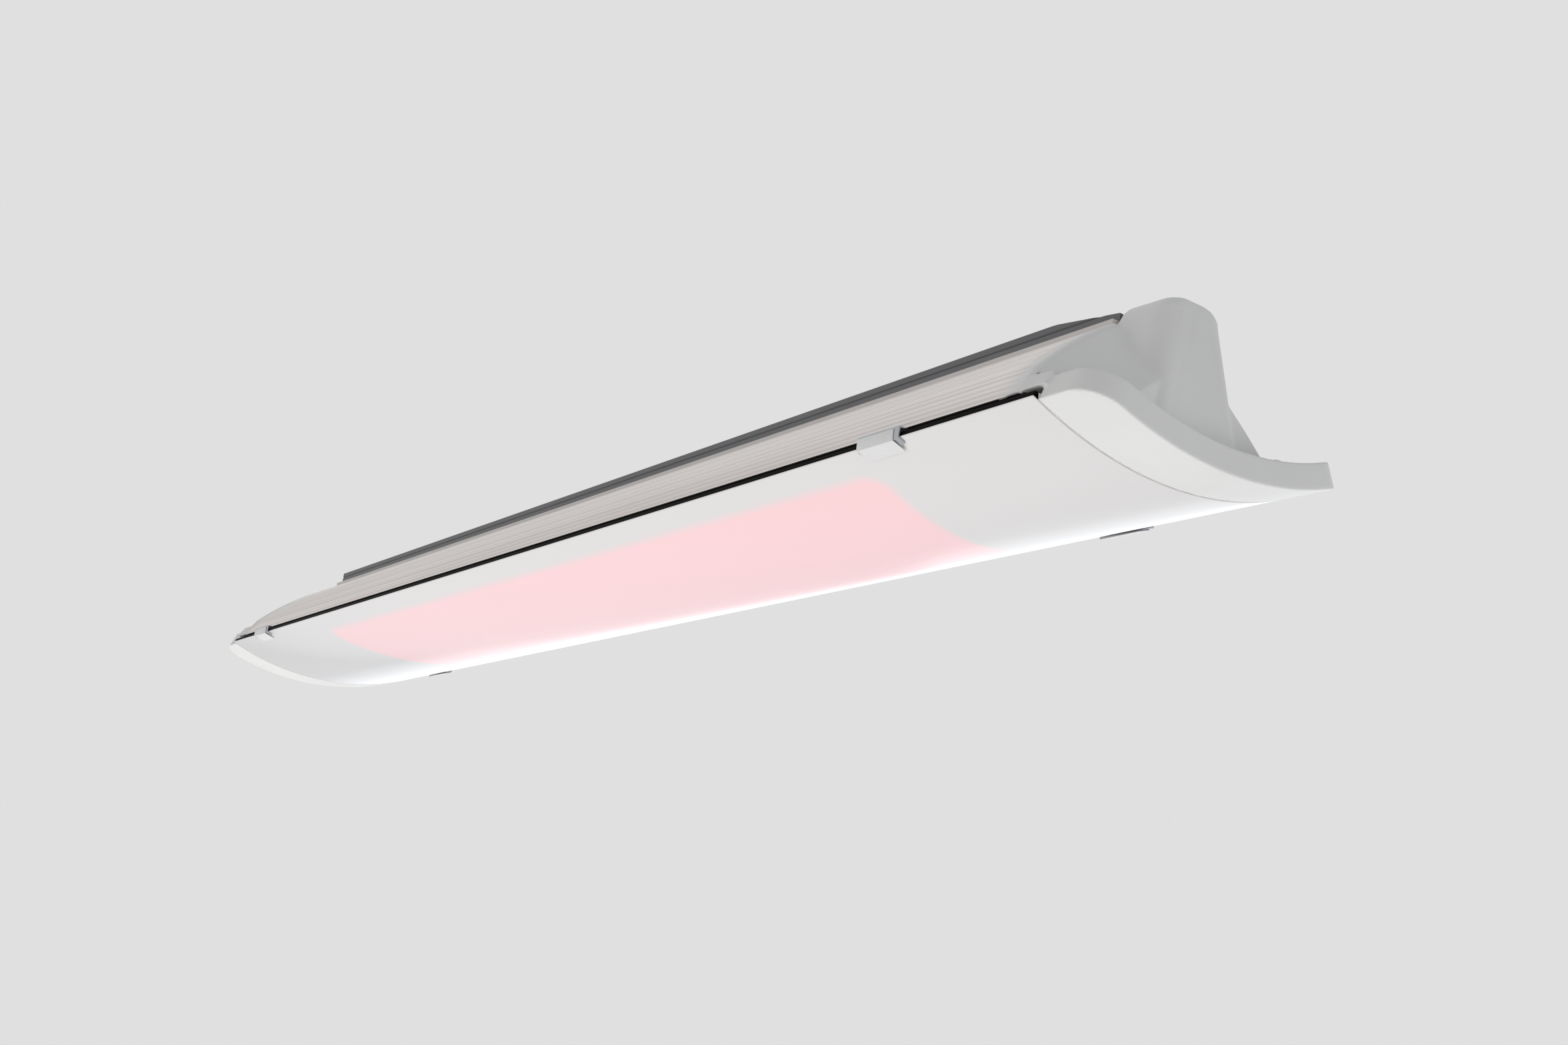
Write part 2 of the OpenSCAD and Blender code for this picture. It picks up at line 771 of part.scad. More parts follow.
// Sheet wall across the housing with a foot on each ledge
module heat_shield() {
    half = wall_line(wall + fit_gap);
    difference() {
        union() {
            along_x(shield_x - shield_t / 2, shield_x + shield_t / 2) difference() {
                polygon(concat(half, flip(half)));
                both_sides_2d() {
                    translate(port) circle(port_r + fit_gap);
                    translate([port[0], 0]) square([edge_y, port[1] + port_r]);
                }
                translate([-pad_w / 2 - fit_gap, crown_h - pad_t - fit_gap])
                    square([pad_w + 2 * fit_gap, pad_t]);
            }
            both_sides() translate([shield_x - shield_t / 2, ledge_y + 0.5, ledge_z])
                cube([flange_l + shield_t, port[0] - port_r - ledge_y - 1, shield_t]);
        }
        both_sides() rod_x(shield_x - 5, shield_x + 5, tube_y, tube_z, ceramic_r + hole_gap);
        both_sides() translate([shield_screw_x, clip_screw_y, ledge_z - 1])
            cylinder(h = 5, r = small_r + hole_gap);
    }
}

module near_heat_shield() {
    color("lightgray") seat() heat_shield();
}

module far_heat_shield() {
    color("lightgray") seat() mirror([1, 0, 0]) heat_shield();
}

module shield_screws() {
    color("silver") seat() both_ends() both_sides()
        translate([shield_screw_x, clip_screw_y, ledge_z + shield_t])
            screw(small_r, shield_t + ledge_t - 0.1, small_head_r, small_head_h);
}

// Plate across both ledges that carries the terminals
module terminal_plate() {
    w = port[0] - port_r - 0.5;
    color("lightgray") seat() difference() {
        translate([plate_x, -w, ledge_z]) cube([plate_end - plate_x, 2 * w, shield_t]);
        translate([earth_pt[0], earth_pt[1], ledge_z - 1]) cylinder(h = 5, r = small_r + hole_gap);
    }
}

// Ceramic block with three channels, each holding a brass bar
module pole_places() {
    for (k = [-1 : 1]) translate([term_x, k * pole, tube_z]) children();
}

module terminal_block() {
    color("ivory") seat() difference() {
        translate([term_x, -term_w / 2, term_z]) cube([term_l, term_w, term_h]);
        pole_places() translate([-1, -bar_w / 2 - hole_gap, -bar_w / 2])
            cube([term_l + 2, bar_w + 2 * hole_gap, bar_w]);
        pole_places() for (x = [bar_in + bar_screw, bar_in + bar_l - bar_screw])
            translate([x, 0, 0]) cylinder(h = term_h, r = small_head_r);
    }
}

module terminal_inserts() {
    color("goldenrod") seat() difference() {
        pole_places() translate([bar_in, -bar_w / 2, -bar_w / 2]) cube([bar_l, bar_w, bar_w]);
        pole_places() rotate([0, 90, 0])
            cylinder(h = term_l, r = lead_r + hole_gap);
        pole_places() for (x = [bar_in + bar_screw, bar_in + bar_l - bar_screw])
            translate([x, 0, 0]) cylinder(h = bar_w, r = small_r + hole_gap);
    }
}

module terminal_screws() {
    color("silver") seat() pole_places() for (x = [bar_in + bar_screw, bar_in + bar_l - bar_screw])
        translate([x, 0, bar_w / 2]) screw(small_r, bar_w / 2 - lead_r, small_head_r - 0.3, 2);
}

// A route with its corners rounded, and a tube swept along it with upright rings
function rounded(pts) = concat([pts[0]], [for (k = [1 : len(pts) - 2])
    let (a = pts[k] + unit(pts[k - 1] - pts[k]) * bend,
        b = pts[k] + unit(pts[k + 1] - pts[k]) * bend)
    each [for (i = [0 : bend_steps]) let (u = i / bend_steps)
        a * (1 - u) * (1 - u) + pts[k] * 2 * u * (1 - u) + b * u * u]], [pts[len(pts) - 1]]);
function lead_ring(p, d) = let (side = unit(cross(d, [0, 0, 1])), up = cross(side, d))
    [for (i = [0 : lead_fn - 1]) let (a = 360 * i / lead_fn)
        p + (side * cos(a) - up * sin(a)) * lead_r];
module lead(pts) {
    way = rounded(pts);
    n = len(way) - 1;
    loft([for (k = [0 : n])
        lead_ring(way[k], unit(way[min(k + 1, n)] - way[max(k - 1, 0)]))]);
}

module supply_leads() {
    color("red") seat() both_sides() lead([[rod_end, tube_y, tube_z], [lead_in - 24, tube_y, tube_z],
        [lead_in - 10, pole, tube_z], [lead_in + 3, pole, tube_z]]);
}

// The far ends of the two filaments are joined, so the tubes run in series
module link_lead() {
    turn_x = ceramic_x + ceramic_l + 10;
    color("red") seat() mirror([1, 0, 0]) lead([[rod_end, tube_y, tube_z],
        [turn_x, tube_y, tube_z], [turn_x + 8, tube_y - 12, tube_z],
        [turn_x + 8, 12 - tube_y, tube_z], [turn_x, -tube_y, tube_z], [rod_end, -tube_y, tube_z]]);
}

module earth_lead() {
    low_z = term_z + lug_t / 2 + lead_r;
    color("yellowgreen") seat() {
        lead([[lead_in + 3, 0, tube_z], [lead_in - 6, 0, tube_z], [earth_pt[0] + 4, -6, low_z],
            [earth_pt[0], earth_pt[1] + 12, low_z], [earth_pt[0], earth_pt[1] + lug_r - 1, low_z]]);
        translate([earth_pt[0], earth_pt[1], term_z]) difference() {
            cylinder(h = lug_t, r = lug_r);
            translate([0, 0, -1]) cylinder(h = 3, r = small_r + hole_gap);
        }
    }
}

module earth_screw() {
    color("silver") seat() translate([earth_pt[0], earth_pt[1], term_z + lug_t])
        screw(small_r, lug_t + shield_t + 2, small_head_r, small_head_h);
}

// Rubber grommet, turned, with a groove that grips the hump's web
module cable_grommet() {
    lip = 1.4;
    web_z = recess_z - web_t;
    color("dimgray") seat() translate([inlet_x, 0, 0]) rotate_extrude()
        polygon([[cable_r, web_z - lip], [neck_r + 1, web_z - lip], [neck_r + 1.4, web_z],
            [neck_r, web_z], [neck_r, recess_z], [recess_r - fit_gap, recess_z],
            [recess_r - fit_gap, recess_z + lip], [cable_r + 1, recess_z + lip],
            [cable_r, recess_z + lip - 0.8]]);
}

module cap_screws() {
    color("silver") seat() both_ends() both_sides()
        translate([cap_seat_x, port[0], port[1]]) rotate([0, 90, 0])
            screw(cap_bolt_r, cap_screw_l, cap_head_r, cap_head_h);
}

glass_panel();
near_end_cap();
far_end_cap();
rear_housing();
rail_base();
left_rail();
right_rail();
rail_nuts();
rail_screws();
near_left_clip();
near_right_clip();
far_left_clip();
far_right_clip();
clip_covers();
clip_screws();
glass_pads();
end_gaskets();
reflector();
insulation_mats();
left_heating_tube();
right_heating_tube();
left_filament();
right_filament();
tube_ceramics();
tube_retainers();
near_heat_shield();
far_heat_shield();
shield_screws();
terminal_plate();
terminal_block();
terminal_inserts();
terminal_screws();
supply_leads();
link_lead();
earth_lead();
earth_screw();
cable_grommet();
cap_screws();
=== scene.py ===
import json
import math
import bpy
from mathutils import Matrix, Vector


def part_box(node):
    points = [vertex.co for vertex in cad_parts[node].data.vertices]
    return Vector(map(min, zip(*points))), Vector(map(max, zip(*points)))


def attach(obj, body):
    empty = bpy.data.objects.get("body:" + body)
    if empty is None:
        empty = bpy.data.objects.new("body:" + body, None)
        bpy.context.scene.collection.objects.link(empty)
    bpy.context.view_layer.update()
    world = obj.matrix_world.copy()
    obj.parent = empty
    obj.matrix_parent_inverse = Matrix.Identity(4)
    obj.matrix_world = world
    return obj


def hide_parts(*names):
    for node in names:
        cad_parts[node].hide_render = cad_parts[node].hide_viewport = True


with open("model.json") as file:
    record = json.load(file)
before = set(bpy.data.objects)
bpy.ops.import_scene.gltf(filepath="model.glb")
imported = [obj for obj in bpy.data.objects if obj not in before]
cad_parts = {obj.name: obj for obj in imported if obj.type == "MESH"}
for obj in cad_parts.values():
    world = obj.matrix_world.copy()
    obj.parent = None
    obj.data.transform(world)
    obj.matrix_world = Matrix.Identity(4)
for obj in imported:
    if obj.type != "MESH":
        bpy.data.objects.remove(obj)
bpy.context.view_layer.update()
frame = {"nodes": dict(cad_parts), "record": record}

print("frame loaded")

# camera, at the photograph's place
view = {
    "place": (1.11663, -0.61307, -0.36103),
    "right": (0.58991, 0.80067, 0.10452),
    "up": (0.15848, -0.24173, 0.95731),
    "back": (0.79176, -0.54817, -0.26949),
    "lens": 39.056,
    "sensor": 36,
    "nearest": 0.01,
    "furthest": 60,
}
bpy.ops.object.camera_add()
camera = bpy.context.object
camera.name = "photoCamera"
turn = Matrix((view["right"], view["up"], view["back"])).transposed()
camera.matrix_world = Matrix.Translation(view["place"]) @ turn.to_4x4()
camera.data.lens = view["lens"]
camera.data.sensor_width = view["sensor"]
camera.data.clip_start = view["nearest"]
camera.data.clip_end = view["furthest"]
bpy.context.scene.camera = camera
bpy.context.scene.view_settings.view_transform = "Standard"
print("camera set")

# one circle across the heater gives the glass, the clips' lips and the dark edge of the glass
glassCurve = 0.238006
glassLow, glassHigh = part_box("glass_panel")
axisHeight = glassLow.z + glassCurve
railHeight = 76.3  # from the glass edges up to the frame's origin, in millimetres


def fromEdges(along, across, height):  # millimetres above the glass edges to metres in the frame
    return (along / 1000, across / 1000, (height - railHeight) / 1000)


# shader maths as plain expressions
class Wire:
    def __init__(self, nodes, socket):
        self.nodes = nodes
        self.socket = socket

    def calc(self, operation, first, second=0.0):
        return self.nodes.node("ShaderNodeMath", {"operation": operation}, {0: first, 1: second})

    def __add__(self, other): return self.calc("ADD", self, other)
    def __radd__(self, other): return self.calc("ADD", other, self)
    def __sub__(self, other): return self.calc("SUBTRACT", self, other)
    def __rsub__(self, other): return self.calc("SUBTRACT", other, self)
    def __mul__(self, other): return self.calc("MULTIPLY", self, other)
    def __rmul__(self, other): return self.calc("MULTIPLY", other, self)
    def __truediv__(self, other): return self.calc("DIVIDE", self, other)
    def __rtruediv__(self, other): return self.calc("DIVIDE", other, self)
    def __pow__(self, other): return self.calc("POWER", self, other)
    def __rpow__(self, other): return self.calc("POWER", other, self)
    def size(self): return self.calc("ABSOLUTE", self)
    def most(self, other): return self.calc("MAXIMUM", self, other)


class Nodes:
    def __init__(self, tree, shader):
        self.tree = tree
        self.shader = tree.nodes[shader]

    def node(self, kind, settings=None, inputs=None, out=0):
        made = self.tree.nodes.new(kind)
        for key, value in (settings or {}).items():
            setattr(made, key, value)
        for key, value in (inputs or {}).items():
            if isinstance(value, Wire):
                self.tree.links.new(value.socket, made.inputs[key])
            else:
                made.inputs[key].default_value = value
        return Wire(self, made.outputs[out])

    def feed(self, socket, wire):
        self.tree.links.new(wire.socket, self.shader.inputs[socket])

    def tint(self, factor, first, second):
        first = first if isinstance(first, Wire) else (*first, 1)
        second = second if isinstance(second, Wire) else (*second, 1)
        return self.node("ShaderNodeMix", {"data_type": "RGBA"}, {0: factor, 6: first, 7: second}, 2)

    def rays(self, *kinds):  # 1 for rays of these kinds, 0 for others
        seen = self.node("ShaderNodeLightPath", out=kinds[0])
        for kind in kinds[1:]:
            seen = seen.most(self.node("ShaderNodeLightPath", out=kind))
        return seen


class Finish(Nodes):
    def __init__(self, name, surface=None):
        self.material = bpy.data.materials.new(name)
        self.material.use_nodes = True
        super().__init__(self.material.node_tree, "Principled BSDF")
        for socket, value in (surface or {}).items():
            self.shader.inputs[socket].default_value = value

    def place(self, stretch=(1, 1, 1)):
        coords = self.node("ShaderNodeTexCoord", out="Object")
        return self.node("ShaderNodeMapping", {}, {"Vector": coords, "Scale": stretch})

    def axis(self, letter):
        coords = self.node("ShaderNodeTexCoord", out="Object")
        return self.node("ShaderNodeSeparateXYZ", {}, {"Vector": coords}, letter)

    def noise(self, scale, detail=3.0, stretch=(1, 1, 1), rough=0.5):
        return self.node("ShaderNodeTexNoise", {}, {"Vector": self.place(stretch), "Scale": scale,
                         "Detail": detail, "Roughness": rough}, "Fac")

    def bands(self, direction, scale, distortion, stretch=(1, 1, 1)):
        return self.node("ShaderNodeTexWave", {"wave_type": "BANDS", "bands_direction": direction},
                         {"Vector": self.place(stretch), "Scale": scale, "Distortion": distortion}, "Fac")

    def step(self, wire, low, high, start=0.0, end=1.0):
        return self.node("ShaderNodeMapRange", {"interpolation_type": "SMOOTHSTEP"},
                         {"Value": wire, "From Min": low, "From Max": high, "To Min": start, "To Max": end})

    def bump(self, height, strength, distance):
        self.feed("Normal", self.node("ShaderNodeBump", {}, {"Height": height, "Strength": strength,
                                                             "Distance": distance}))


# finishes
def whiteGlass():
    look = {
        "tone": (0.805, 0.79, 0.784), "paintedBlueReflection": (0.79, 0.793, 0.815), "paintedGlowPink": (0.775, 0.66, 0.675),
        "reflectionFrom": -0.09, "reflectionTo": 0.14, "reflectionAlong": 0.2,
        "glow": (1.0, 0.16, 0.2), "glowFull": 0.55, "glowOut": 1.1,
        "glowMiddle": 0.0325, "glowEnd": 0.397, "glowSide": 0.080, "glowCorner": 0.02,
        "slantFar": 0.13, "slantNear": 0.27, "slantTurn": 0.1,
        "edge": (0.008, 0.007, 0.007), "lip": 0.0007, "lipFade": 0.0003,
        "coat": 0.5, "edgeRough": 0.8, "polish": 0.57, "smears": 6, "smearRough": 0.05,
    }
    f = Finish("whiteGlass", {"IOR": 1.5, "Coat Roughness": 0.2, "Emission Strength": 0.24})
    # the painted glow: the light of the heating tubes behind the glass is painted on it as pink colour and
    # pink emission, in a rectangle with round corners and slanted ends
    corner = look["glowCorner"]
    turning = f.step(f.axis("X"), -look["slantTurn"], look["slantTurn"], look["slantFar"], look["slantNear"])
    slant = (f.axis("Y") + look["glowSide"]) * turning
    end = look["glowEnd"] - corner
    side = look["glowSide"] - corner
    along = ((f.axis("X") - look["glowMiddle"]).size() + slant - end).most(0) / corner
    across = (f.axis("Y").size() - side).most(0) / corner
    glow = f.step((along * along + across * across) ** 0.5, look["glowFull"], look["glowOut"], 1, 0)
    # only the outer face is clear: the cut edge and the back are painted near black, a painted shade for the
    # slot beside the glass
    height = f.axis("Z") - axisHeight
    out = (f.axis("Y") * f.axis("Y") + height * height) ** 0.5
    face = glassCurve - look["lip"]
    clear = f.step(out, face, face + look["lipFade"])
    # painted reflection: the glass is tinted bluer towards its +Y side and its far end, as a painted
    # reflection of bluish light
    body = f.tint(f.step(f.axis("Y") - f.axis("X") * look["reflectionAlong"], look["reflectionFrom"], look["reflectionTo"]),
                  look["tone"], look["paintedBlueReflection"])
    f.feed("Base Color", f.tint(clear, look["edge"], f.tint(glow, body, look["paintedGlowPink"])))
    f.feed("Metallic", 1 - clear)
    f.feed("Coat Weight", clear * look["coat"])
    polish = look["polish"] - f.noise(look["smears"], detail=2) * look["smearRough"]
    f.feed("Roughness", look["edgeRough"] - clear * polish)
    f.feed("Emission Color", f.tint(glow * clear, (0, 0, 0), look["glow"]))
    return f.material


def castPaint():
    look = {"tone": (0.84, 0.84, 0.83), "low": (0.74, 0.74, 0.73), "patches": 14,
            "patchFrom": 0.3, "patchTo": 0.75, "lowShare": 0.5, "rough": 0.42, "patchRough": 0.16,
            "grain": 900, "bump": 0.22, "depth": 0.00025}
    f = Finish("castPaint", {"IOR": 1.5, "Specular IOR Level": 0.45})
    grain = f.noise(look["grain"], detail=2)
    patch = f.noise(look["patches"], detail=4)
    share = f.step(patch, look["patchFrom"], look["patchTo"], 0, look["lowShare"])
    f.feed("Base Color", f.tint(share, look["tone"], look["low"]))
    f.feed("Roughness", look["rough"] + patch * look["patchRough"])
    f.bump(grain, look["bump"], look["depth"])
    return f.material


def anodised():
    look = {
        "tone": (0.83, 0.785, 0.76), "dull": (0.69, 0.655, 0.635), "lineShare": 0.6, "patchShare": 0.3,
        "lines": 60, "lineStretch": (0.02, 2.6, 2.6), "lineFrom": 0.3, "lineTo": 0.7, "patches": 7,
        "paint": (0.78, 0.78, 0.77), "paintFrom": 0.524, "paintTo": 0.552,
        "rough": 0.36, "lineRough": 0.14, "paintRough": 0.14, "slotShadeRough": 0.8,
        # inside is the painted shade colour inside the skirt
        "bump": 0.12, "depth": 0.0002, "inside": (0.015, 0.014, 0.013),
        "skirt": (0.092, -0.0703), "draw": 0.667, "wall": (0.0007, 0.0014), "slotTop": (-0.0600, -0.0560),
    }
    f = Finish("anodised", {"Anisotropic": 0.3})
    lines = f.noise(look["lines"], detail=2, stretch=look["lineStretch"])
    lines = f.step(lines, look["lineFrom"], look["lineTo"])
    patch = f.noise(look["patches"], detail=3)
    painted = f.step(f.axis("X").size(), look["paintFrom"], look["paintTo"])
    # painted shade: near black inside the skirt, where the slot lets one look in, in place of the shade in
    # the slot
    depth = look["skirt"][0] - (f.axis("Z") - look["skirt"][1]) * look["draw"] - f.axis("Y").size()
    inside = f.step(depth, *look["wall"]) * f.step(f.axis("Z"), *look["slotTop"], 1, 0)
    bare = f.tint(lines * look["lineShare"] + patch * look["patchShare"], look["tone"], look["dull"])
    rough = look["rough"] + lines * look["lineRough"] * (1 - painted) + painted * look["paintRough"]
    f.feed("Base Color", f.tint(inside, f.tint(painted, bare, look["paint"]), look["inside"]))
    f.feed("Metallic", (1 - painted) * (1 - inside))
    f.feed("Roughness", rough.most(inside * look["slotShadeRough"]))
    f.bump(lines, look["bump"], look["depth"])
    return f.material


def darkCoat():
    look = {"tone": (0.14, 0.142, 0.148), "worn": (0.24, 0.24, 0.245), "lines": 60,
            "lineStretch": (0.05, 16, 16), "lineShare": 0.2, "scuffs": 45, "scuffStretch": (0.2, 1, 1),
            "scuffFrom": 0.55, "scuffTo": 0.8, "scuffShare": 0.6, "rough": 0.36, "lineRough": 0.2,
            "bump": 0.1, "depth": 0.0002}
    f = Finish("darkCoat", {"Metallic": 0.4, "Specular IOR Level": 0.5})
    lines = f.noise(look["lines"], detail=3, stretch=look["lineStretch"], rough=0.6)
    scuff = f.noise(look["scuffs"], detail=5, stretch=look["scuffStretch"])
    scuff = f.step(scuff, look["scuffFrom"], look["scuffTo"])
    wear = scuff * look["scuffShare"] + lines * look["lineShare"]
    f.feed("Base Color", f.tint(wear, look["tone"], look["worn"]))
    f.feed("Roughness", look["rough"] + lines * look["lineRough"])
    f.bump(lines, look["bump"], look["depth"])
    return f.material


metals = {
    "rail_flange": {"name": "railFlange", "tone": (0.62, 0.585, 0.565), "dull": (0.5, 0.475, 0.46),
                    "rough": 0.4, "brushed": (0.05, 6, 6)},
    "zinc": {"name": "zincPlate", "tone": (0.68, 0.68, 0.66), "dull": (0.5, 0.5, 0.46), "rough": 0.28},
    "clip_steel": {"name": "clipSteel", "tone": (0.56, 0.57, 0.6), "dull": (0.4, 0.41, 0.43), "rough": 0.26,
                   "brushed": (0.1, 4, 4)},
    "bright_aluminium": {"name": "brightAluminium", "tone": (0.88, 0.88, 0.88), "dull": (0.8, 0.8, 0.8),
                         "rough": 0.08, "brushed": (0.03, 8, 8), "bump": 0.04},
    "sheet_steel": {"name": "sheetSteel", "tone": (0.5, 0.5, 0.5), "dull": (0.38, 0.38, 0.39), "rough": 0.34},
    "terminal_brass": {"name": "terminalBrass", "tone": (0.72, 0.52, 0.22), "dull": (0.55, 0.4, 0.18),
                       "rough": 0.25, "brushed": (0.2, 3, 3)},
}


def metal(name, tone, dull, rough, brushed=(1, 1, 1), bump=0.12):
    look = {"lines": 180, "patches": 28, "lineShare": 0.4, "patchShare": 0.4, "patchRough": 0.18,
            "depth": 0.0001}
    f = Finish(name, {"Metallic": 1.0})
    lines = f.noise(look["lines"], detail=3, stretch=brushed, rough=0.6)
    patch = f.noise(look["patches"], detail=4)
    f.feed("Base Color", f.tint(lines * look["lineShare"] + patch * look["patchShare"], tone, dull))
    f.feed("Roughness", rough + patch * look["patchRough"])
    f.bump(lines, bump, look["depth"])
    return f.material


mouldings = {
    "white_cover": {"name": "whiteCover", "tone": (0.82, 0.82, 0.82), "second": (0.76, 0.76, 0.76),
                    "rough": 0.2, "grain": 700, "bump": 0.05},
    "silicone": {"name": "whiteSilicone", "tone": (0.74, 0.74, 0.73), "second": (0.66, 0.66, 0.65),
                 "rough": 0.55},
    "dark_rubber": {"name": "darkRubber", "tone": (0.03, 0.03, 0.032), "second": (0.045, 0.045, 0.047),
                    "rough": 0.55, "grain": 600, "bump": 0.2},
    "steatite": {"name": "steatite", "tone": (0.82, 0.79, 0.73), "second": (0.74, 0.71, 0.65),
                 "rough": 0.5, "grain": 700, "bump": 0.25},
}
jointSeal = {"name": "jointSeal", "tone": (0.74, 0.73, 0.72), "second": (0.69, 0.68, 0.67), "rough": 0.55,
             "grain": 600, "bump": 0.15}


def moulded(name, tone, second, rough, grain=500, bump=0.1):
    look = {"patches": 40, "grainRough": 0.12, "depth": 0.0002}
    f = Finish(name)
    fine = f.noise(grain, detail=2)
    f.feed("Base Color", f.tint(f.noise(look["patches"], detail=3), tone, second))
    f.feed("Roughness", rough + fine * look["grainRough"])
    f.bump(fine, bump, look["depth"])
    return f.material


sleeves = {
    "lead_sleeve": {"name": "leadSleeve", "tone": (0.45, 0.04, 0.03), "second": (0.25, 0.02, 0.015)},
    "earth_sleeve": {"name": "earthSleeve", "tone": (0.45, 0.42, 0.02), "second": (0.05, 0.25, 0.04)},
}


def braided(name, tone, second):
    look = {"strands": 420, "wander": 1.5, "crossing": 520, "crossWander": 1.0, "crossStretch": (1, -1, 1),
            "rough": 0.6, "strandRough": 0.25, "bump": 0.4, "depth": 0.0002}
    f = Finish(name, {"Sheen Weight": 0.3})
    strands = f.bands("DIAGONAL", look["strands"], look["wander"])
    crossing = f.bands("X", look["crossing"], look["crossWander"], look["crossStretch"])
    f.feed("Base Color", f.tint(strands * crossing, tone, second))
    f.feed("Roughness", look["rough"] + strands * look["strandRough"])
    f.bump(strands + crossing, look["bump"], look["depth"])
    return f.material


def fibreMat():
    look = {"tone": (0.86, 0.83, 0.76), "second": (0.72, 0.69, 0.62), "tufts": 300, "lumps": 40,
            "rough": 0.85, "lumpRough": 0.1, "bump": 0.6, "depth": 0.0012}
    f = Finish("fibreMat", {"Sheen Weight": 0.2})
    tufts = f.noise(look["tufts"], detail=6, rough=0.7)
    lumps = f.noise(look["lumps"], detail=4)
    f.feed("Base Color", f.tint(tufts, look["tone"], look["second"]))
    f.feed("Roughness", look["rough"] + lumps * look["lumpRough"])
    f.bump(tufts + lumps, look["bump"], look["depth"])
    return f.material


def quartz():
    look = {"tone": (0.95, 0.96, 0.97), "second": (0.9, 0.92, 0.94), "patches": 60, "smears": 90,
            "rough": 0.03, "smearRough": 0.05}
    f = Finish("quartz", {"IOR": 1.46, "Alpha": 0.3, "Transmission Weight": 0.9})
    f.feed("Base Color", f.tint(f.noise(look["patches"], detail=2), look["tone"], look["second"]))
    f.feed("Roughness", look["rough"] + f.noise(look["smears"], detail=2) * look["smearRough"])
    return f.material


def glowingCarbon():
    look = {"tone": (0.35, 0.08, 0.04), "second": (0.16, 0.04, 0.03), "hot": (1.0, 0.30, 0.10),
            "cooler": (0.8, 0.16, 0.05), "weave": 900, "stretch": (0.3, 1, 1), "rough": 0.6,
            "weaveRough": 0.2}
    f = Finish("glowingCarbon", {"Emission Strength": 1.5})
    weave = f.noise(look["weave"], detail=2, stretch=look["stretch"])
    f.feed("Base Color", f.tint(weave, look["tone"], look["second"]))
    f.feed("Emission Color", f.tint(weave, look["hot"], look["cooler"]))
    f.feed("Roughness", look["rough"] + weave * look["weaveRough"])
    return f.material


finishes = {"white_glass": whiteGlass(), "cap_paint": castPaint(), "anodised": anodised(),
            "rail_dark": darkCoat(), "fibre_mat": fibreMat(), "quartz": quartz(),
            "glowing_carbon": glowingCarbon()}
finishes.update({slot: metal(**look) for slot, look in metals.items()})
finishes.update({slot: moulded(**look) for slot, look in mouldings.items()})
finishes.update({slot: braided(**look) for slot, look in sleeves.items()})
slotOf = {s["node"]: s["material_slot"] for s in frame["record"]["subparts"]}
for name, node in frame["nodes"].items():
    node.data.materials.clear()
    node.data.materials.append(finishes[slotOf[name]])
frame["nodes"]["end_gaskets"].data.materials[0] = moulded(**jointSeal)
print("finishes made:", len(finishes) + 1)


# pieces made here
def only(piece):
    bpy.ops.object.select_all(action="DESELECT")
    piece.select_set(True)
    bpy.context.view_layer.objects.active = piece


def applyAll(piece):
    only(piece)
    for modifier in list(piece.modifiers):
        bpy.ops.object.modifier_apply(modifier=modifier.name)


def applyPlace():
    bpy.ops.object.transform_apply(location=True, rotation=True, scale=True)


def settle(piece, slot, *nodes):
    only(piece)
    applyPlace()
    piece.data.materials.clear()
    piece.data.materials.append(finishes[slot])
    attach(piece, "root")
    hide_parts(*nodes)


def giveWall(piece, thickness):  # from the surface inwards
    wall = piece.modifiers.new("wall", "SOLIDIFY")
    wall.thickness = thickness
    wall.offset = -1


def roundEdges(piece, look):  # width, segments and the angles in degrees
    edge = piece.modifiers.new("edge", "BEVEL")
    edge.width = look["edge"]
    edge.segments = look["segments"]
    edge.limit_method = "ANGLE"
    edge.angle_limit = math.radians(look["limit"])
    edge.use_clamp_overlap = True
    applyAll(piece)
    bpy.ops.object.shade_smooth_by_angle(angle=math.radians(look["smooth"]))


def trim(point, normal):
    bpy.ops.mesh.select_all(action="SELECT")
    bpy.ops.mesh.bisect(plane_co=point, plane_no=normal, clear_outer=True)


glassFront = {"thick": 0.004, "facets": 720, "edge": 0.0011, "segments": 3, "limit": 50, "smooth": 35}


def makeGlass():
    bpy.ops.object.select_all(action="DESELECT")
    bpy.ops.mesh.primitive_cylinder_add(vertices=glassFront["facets"], radius=glassCurve,
                                        depth=glassHigh.x - glassLow.x, end_fill_type="NOTHING",
                                        location=(0, 0, axisHeight), rotation=(0, math.pi / 2, 0))
    piece = bpy.context.object
    piece.name = "glassFront"
    applyPlace()
    bpy.ops.object.mode_set(mode="EDIT")
    trim((0, glassHigh.y, 0), (0, 1, 0))
    trim((0, glassLow.y, 0), (0, -1, 0))
    trim((0, 0, axisHeight), (0, 0, 1))
    bpy.ops.object.mode_set(mode="OBJECT")
    giveWall(piece, glassFront["thick"])
    roundEdges(piece, glassFront)
    settle(piece, "white_glass", "glass_panel")


# a CAD node is loose triangles, so its copy is merged into whole faces
nodeCopy = {"merge": 0.00001, "flat": 0.4}


def copyNode(node, name):
    only(frame["nodes"][node])
    bpy.ops.object.duplicate()
    piece = bpy.context.object
    piece.name = name
    for key in list(piece.keys()):
        del piece[key]
    piece.parent = None
    bpy.ops.mesh.customdata_custom_splitnormals_clear()
    bpy.ops.object.mode_set(mode="EDIT")
    bpy.ops.mesh.select_all(action="SELECT")
    bpy.ops.mesh.remove_doubles(threshold=nodeCopy["merge"])
    bpy.ops.mesh.dissolve_limited(angle_limit=math.radians(nodeCopy["flat"]))
    bpy.ops.object.mode_set(mode="OBJECT")
    return piece


def softCopy(node, name, slot, look, reshape=None):
    piece = copyNode(node, name)
    if reshape:
        reshape(piece)
    roundEdges(piece, look)
    settle(piece, slot, node)


